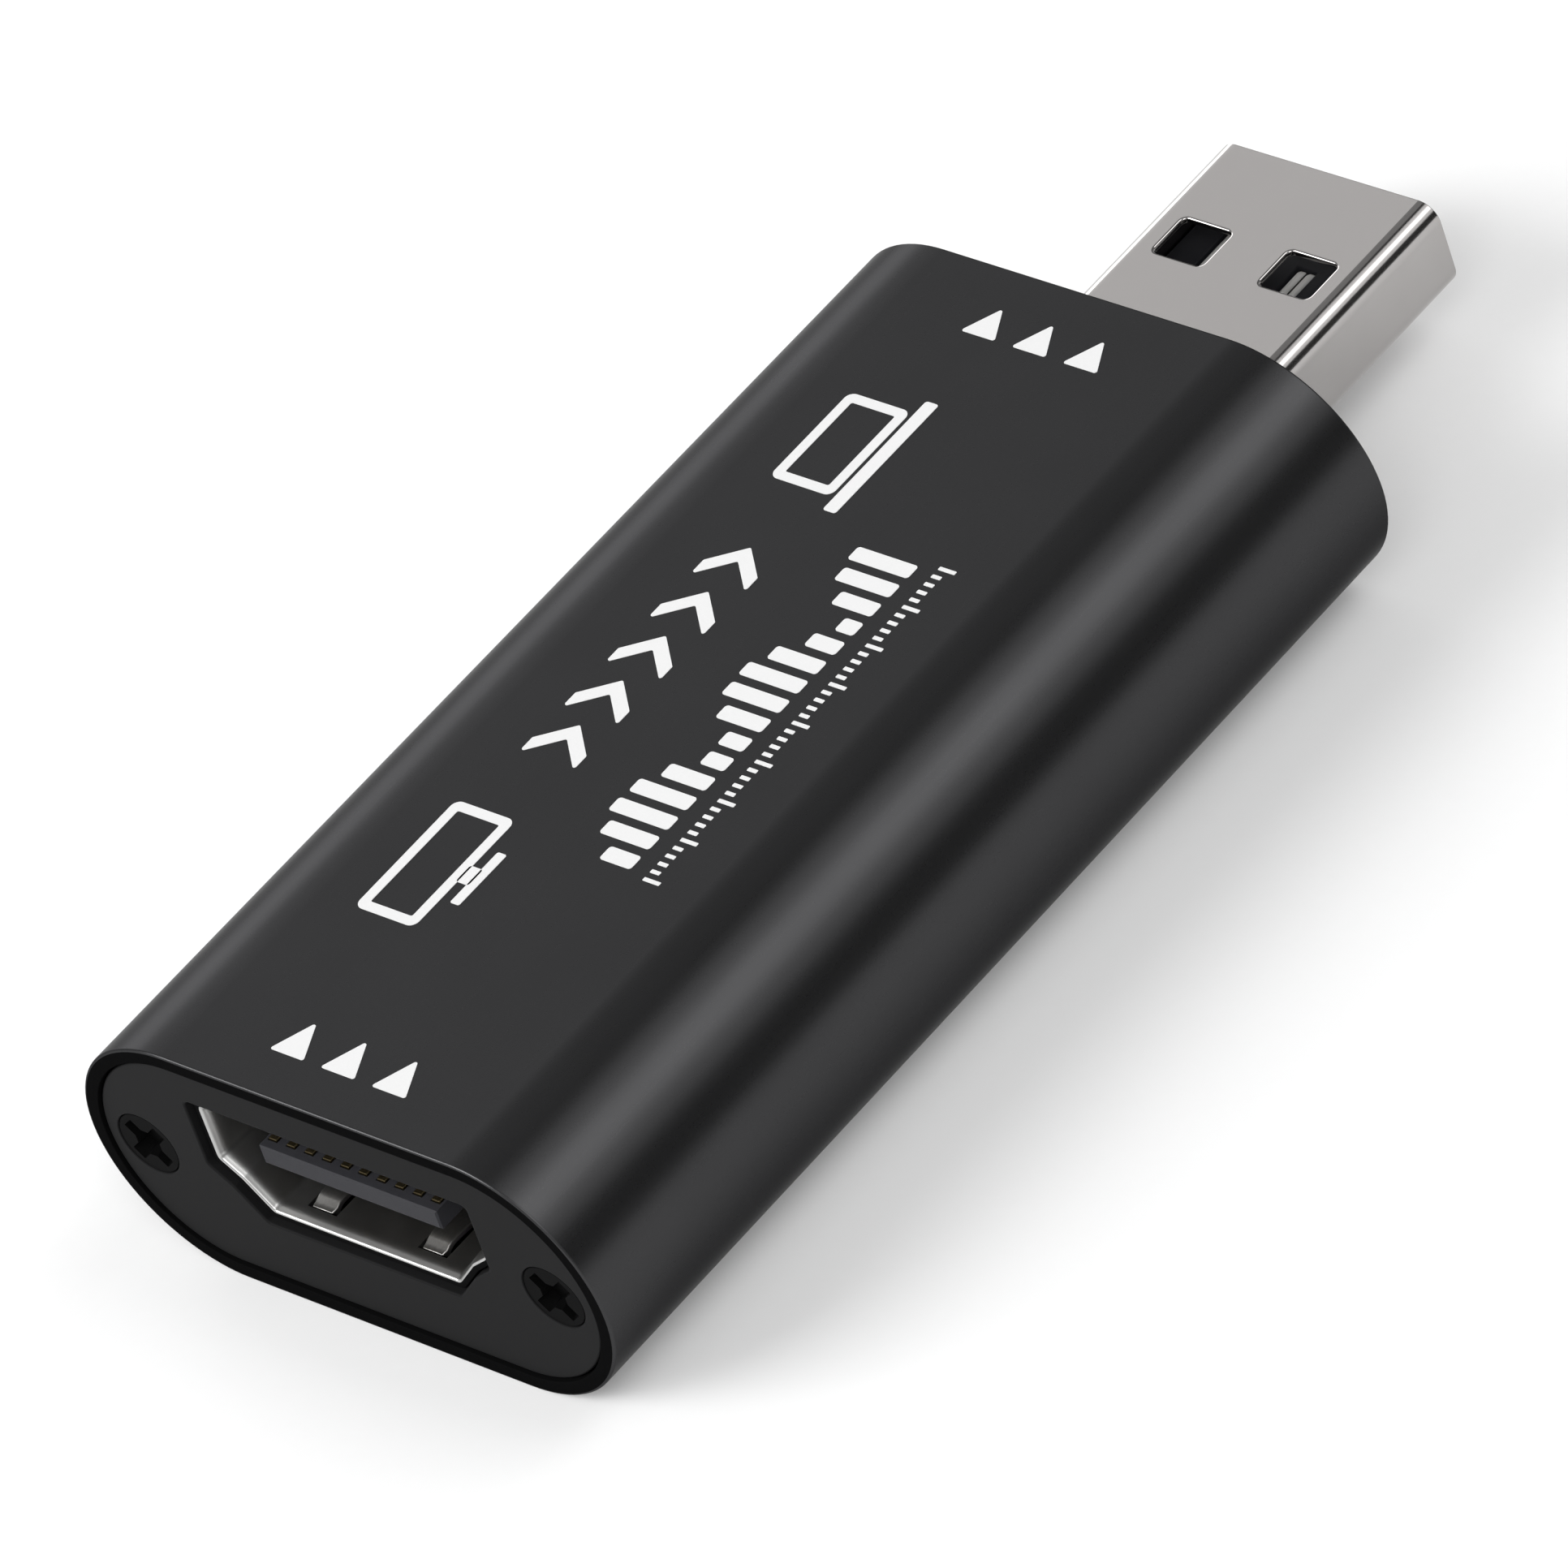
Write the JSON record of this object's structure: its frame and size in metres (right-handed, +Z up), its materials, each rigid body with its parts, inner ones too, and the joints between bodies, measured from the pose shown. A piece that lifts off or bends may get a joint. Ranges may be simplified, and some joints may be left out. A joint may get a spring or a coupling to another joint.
{
  "type": "video capture stick",
  "caption": "Flat round-sided metal stick with a wide video input socket at one end and a computer plug at the other, which turns a video signal into computer data.",
  "frame": {"origin": "on the resting face, under the middle of the whole length from the socket's rim to the plug's tip", "axes": "+X across the stick, +Y along it towards the plug, +Z up from the resting face"},
  "size_m": [0.0286, 0.068, 0.0128],
  "materials": {
    "black_anodised_aluminium": "satin black anodised",
    "black_plate": "matt black",
    "blackened_screw_steel": "black oxide",
    "nickel_sheet": "bright nickel on folded sheet",
    "plug_steel": "satin nickel on folded sheet",
    "black_moulding": "moulded, matt",
    "gold_contact": "gold plated",
    "plated_plug_contact": "thin gold over nickel",
    "board_laminate": "green solder mask",
    "chip_epoxy": "moulded epoxy",
    "tinned_lead": "tin plated",
    "crystal_ceramic": "unglazed ceramic",
    "capacitor_ceramic": "fired ceramic",
    "resistor_glaze": "glazed",
    "ferrite_ceramic": "sintered"
  },
  "bodies": {
    "stick": {"case_sleeve": "black_anodised_aluminium", "input_end_plate": "black_plate", "output_end_plate": "black_plate", "input_plate_screws": "blackened_screw_steel", "output_plate_screws": "blackened_screw_steel", "video_socket_shell": "nickel_sheet", "video_socket_insulator": "black_moulding", "video_socket_upper_contacts": "gold_contact", "video_socket_lower_contacts": "gold_contact", "plug_shell": "plug_steel", "plug_insulator": "black_moulding", "plug_contacts": "plated_plug_contact", "circuit_board": "board_laminate", "capture_chip": "chip_epoxy", "capture_chip_leads": "tinned_lead", "memory_chip": "chip_epoxy", "memory_chip_leads": "tinned_lead", "clock_crystal_base": "crystal_ceramic", "clock_crystal_lid": "nickel_sheet", "regulator_bodies": "chip_epoxy", "regulator_leads": "tinned_lead", "surge_arrays": "chip_epoxy", "capacitor_bodies": "capacitor_ceramic", "capacitor_ends": "tinned_lead", "resistor_bodies": "resistor_glaze", "resistor_ends": "tinned_lead", "ferrite_bodies": "ferrite_ceramic", "ferrite_ends": "tinned_lead"},
    "lower_left_finger": {"lower_left_spring_finger": "nickel_sheet"},
    "lower_right_finger": {"lower_right_spring_finger": "nickel_sheet"},
    "upper_left_finger": {"upper_left_spring_finger": "nickel_sheet"},
    "upper_right_finger": {"upper_right_spring_finger": "nickel_sheet"}
  },
  "joints": [
    {"name": "lower_left_finger_bend", "type": "hinge", "parent": "stick", "child": "lower_left_finger", "pos_m": [-0.00305, -0.02855, 0.00455], "axis": [1, 0, 0], "range_deg": [0, 6], "stiffness_Nm_per_rad": 0.04},
    {"name": "lower_right_finger_bend", "type": "hinge", "parent": "stick", "child": "lower_right_finger", "pos_m": [0.00305, -0.02855, 0.00455], "axis": [1, 0, 0], "range_deg": [0, 6], "stiffness_Nm_per_rad": 0.04},
    {"name": "upper_left_finger_bend", "type": "hinge", "parent": "stick", "child": "upper_left_finger", "pos_m": [-0.00305, -0.02855, 0.00975], "axis": [-1, 0, 0], "range_deg": [0, 6], "stiffness_Nm_per_rad": 0.04},
    {"name": "upper_right_finger_bend", "type": "hinge", "parent": "stick", "child": "upper_right_finger", "pos_m": [0.00305, -0.02855, 0.00975], "axis": [-1, 0, 0], "range_deg": [0, 6], "stiffness_Nm_per_rad": 0.04}
  ]
}
